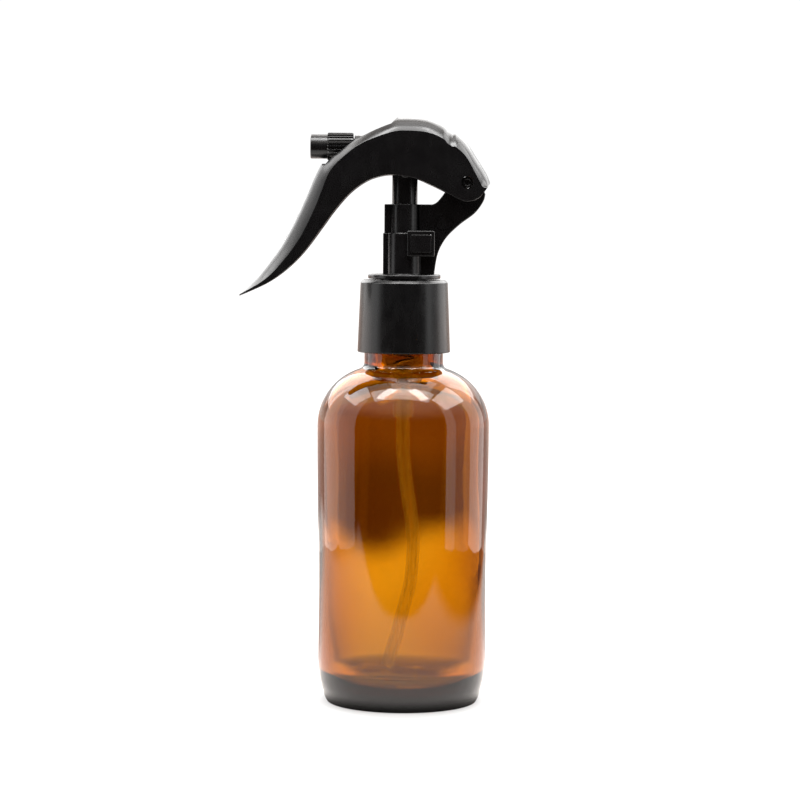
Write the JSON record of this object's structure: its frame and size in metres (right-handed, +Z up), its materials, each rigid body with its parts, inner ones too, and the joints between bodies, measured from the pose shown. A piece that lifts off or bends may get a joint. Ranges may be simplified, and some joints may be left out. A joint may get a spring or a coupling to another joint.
{
  "type": "spray bottle",
  "caption": "Amber glass round bottle with a black screw closure and a rear-hinged trigger lever that presses a pump and mist nozzle straight down.",
  "frame": {"origin": "middle of the bottle's underside, on the bottle's axis", "axes": "+Z up along the bottle's axis, nozzle and trigger towards -X, lever pivot towards +X, the lever turns about Y"},
  "size_m": [0.0713, 0.0488, 0.1666],
  "materials": {
    "amber_glass": "clear amber, smooth",
    "black_plastic": "black moulded polypropylene, satin gloss",
    "natural_plastic": "natural polyethylene, milky",
    "tube_plastic": "translucent polyethylene tube",
    "white_plastic": "white moulded polypropylene",
    "seal_rubber": "black nitrile rubber",
    "steel": "drawn stainless wire and polished balls"
  },
  "bodies": {
    "bottle": {"bottle": "amber_glass"},
    "gasket": {"gasket": "natural_plastic"},
    "pump_unit": {"sprayer_body": "black_plastic", "pump_housing": "natural_plastic", "retaining_collar": "white_plastic", "stem_seal": "seal_rubber", "return_spring": "steel", "ball_stop": "white_plastic", "dip_tube": "tube_plastic", "pivot_pin": "black_plastic"},
    "closure": {"closure": "black_plastic"},
    "trigger": {"trigger_lever": "black_plastic"},
    "head": {"spray_head": "black_plastic", "pump_stem": "white_plastic", "plunger": "white_plastic", "piston": "natural_plastic", "swirl_insert": "white_plastic", "nozzle_seal": "seal_rubber"},
    "nozzle": {"nozzle_cap": "black_plastic"},
    "lock": {"lock_button": "black_plastic"},
    "inlet_valve": {"inlet_ball": "steel"},
    "outlet_valve": {"outlet_ball": "steel"}
  },
  "joints": [
    {"name": "sprayer_lift", "type": "slide", "parent": "bottle", "child": "gasket", "axis": [0, 0, 1], "range_m": [0, 0.115]},
    {"name": "closure_rise", "type": "slide", "parent": "gasket", "child": "pump_unit", "axis": [0, 0, 1], "range_m": [0, 0.0048]},
    {"name": "closure_turn", "type": "hinge", "parent": "pump_unit", "child": "closure", "pos_m": [0, 0, 0.11], "axis": [0, 0, 1], "range_deg": [0, 540]},
    {"name": "trigger_squeeze", "type": "hinge", "parent": "pump_unit", "child": "trigger", "pos_m": [0.0176, 0, 0.1483], "axis": [0, -1, 0], "range_deg": [0, 18], "stiffness_Nm_per_rad": 0.3, "springref_deg": -17.19},
    {"name": "head_press", "type": "slide", "parent": "pump_unit", "child": "head", "axis": [0, 0, -1], "range_m": [0, 0.0056], "deforming": ["return_spring"]},
    {"name": "nozzle_turn", "type": "hinge", "parent": "head", "child": "nozzle", "pos_m": [-0.02, 0, 0.1582], "axis": [-1, 0, 0], "range_deg": [0, 180]},
    {"name": "lock_slide", "type": "slide", "parent": "pump_unit", "child": "lock", "axis": [0, 1, 0], "range_m": [-0.0024, 0]},
    {"name": "inlet_lift", "type": "slide", "parent": "pump_unit", "child": "inlet_valve", "axis": [0, 0, 1], "range_m": [0, 0.001]},
    {"name": "outlet_lift", "type": "slide", "parent": "head", "child": "outlet_valve", "axis": [0, 0, 1], "range_m": [0, 0.0009]}
  ],
  "couplings": [
    {"joint": "closure_rise", "follows": "closure_turn", "m_per_rad": 0.00050532},
    {"joint": "head_press", "follows": "trigger_squeeze", "m_per_rad": 0.01755}
  ]
}
